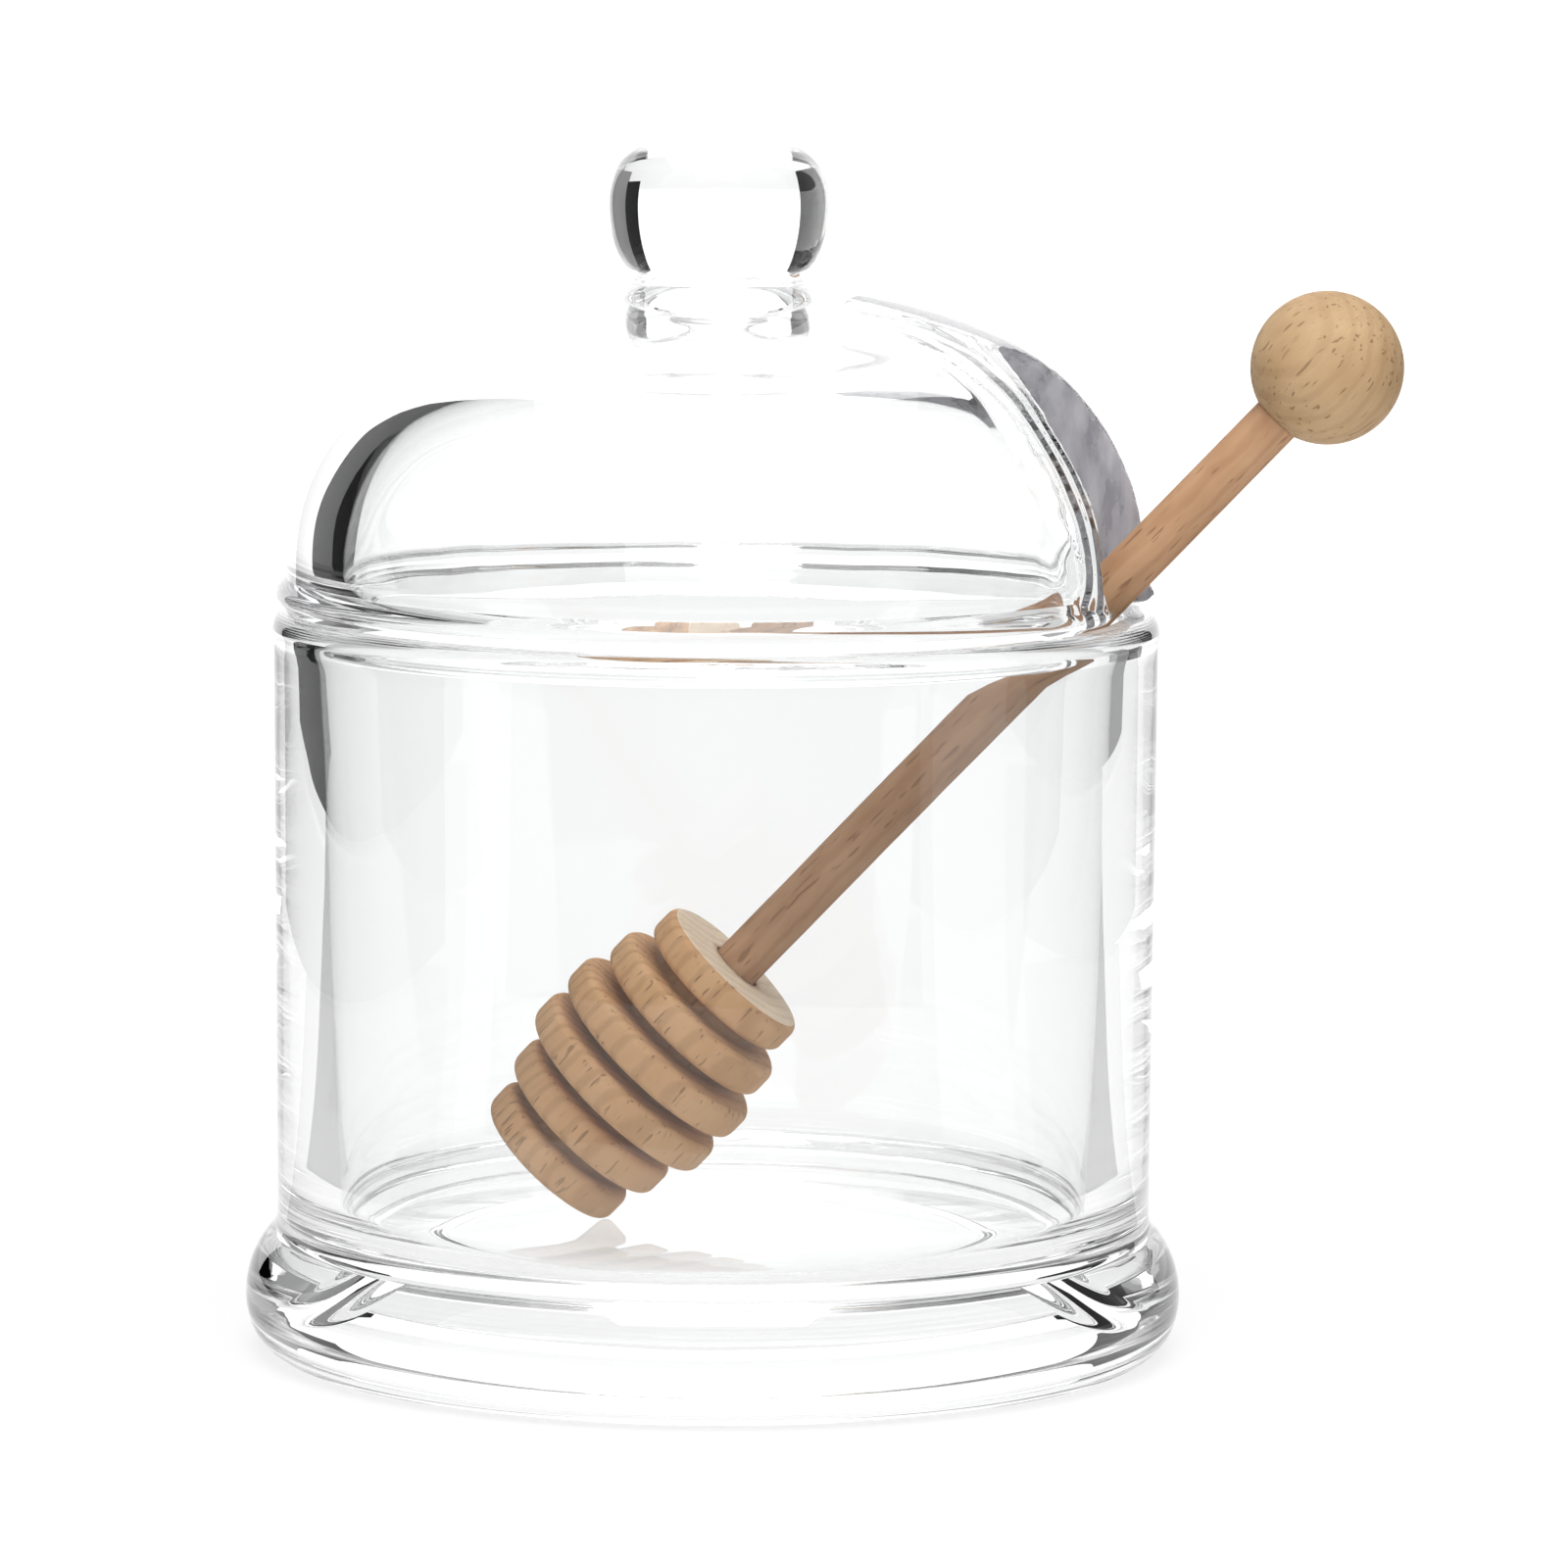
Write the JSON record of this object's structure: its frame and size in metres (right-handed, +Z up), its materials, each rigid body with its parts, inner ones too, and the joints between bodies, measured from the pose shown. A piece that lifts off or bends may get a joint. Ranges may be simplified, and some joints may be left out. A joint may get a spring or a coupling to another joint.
{
  "type": "honey jar",
  "caption": "Clear glass honey jar with a thick foot, a domed and knobbed glass lid with an arched notch, and a turned wooden honey dipper leaning out through the notch.",
  "frame": {"origin": "middle of the set's footprint, dipper included, on the surface it stands on; the jar's own axis is 12.6 mm to -X", "axes": "+Z up; +X out through the lid's notch, the way the dipper leans; +Y across, with -Y nearest the viewer of the picture"},
  "size_m": [0.1383, 0.1132, 0.1452],
  "materials": {
    "clear_glass": "clear pressed glass, polished, the notch's edge ground satin",
    "head_wood": "raw turned beech, fine grain, unvarnished",
    "stem_wood": "raw beech dowel, pinkish brown, unvarnished",
    "ball_wood": "raw beech ball, pale, fine grain, unvarnished"
  },
  "bodies": {
    "root": {"jar": "clear_glass", "lid": "clear_glass", "dipper_head": "head_wood", "dipper_stem": "stem_wood", "dipper_ball": "ball_wood"}
  },
  "joints": []
}
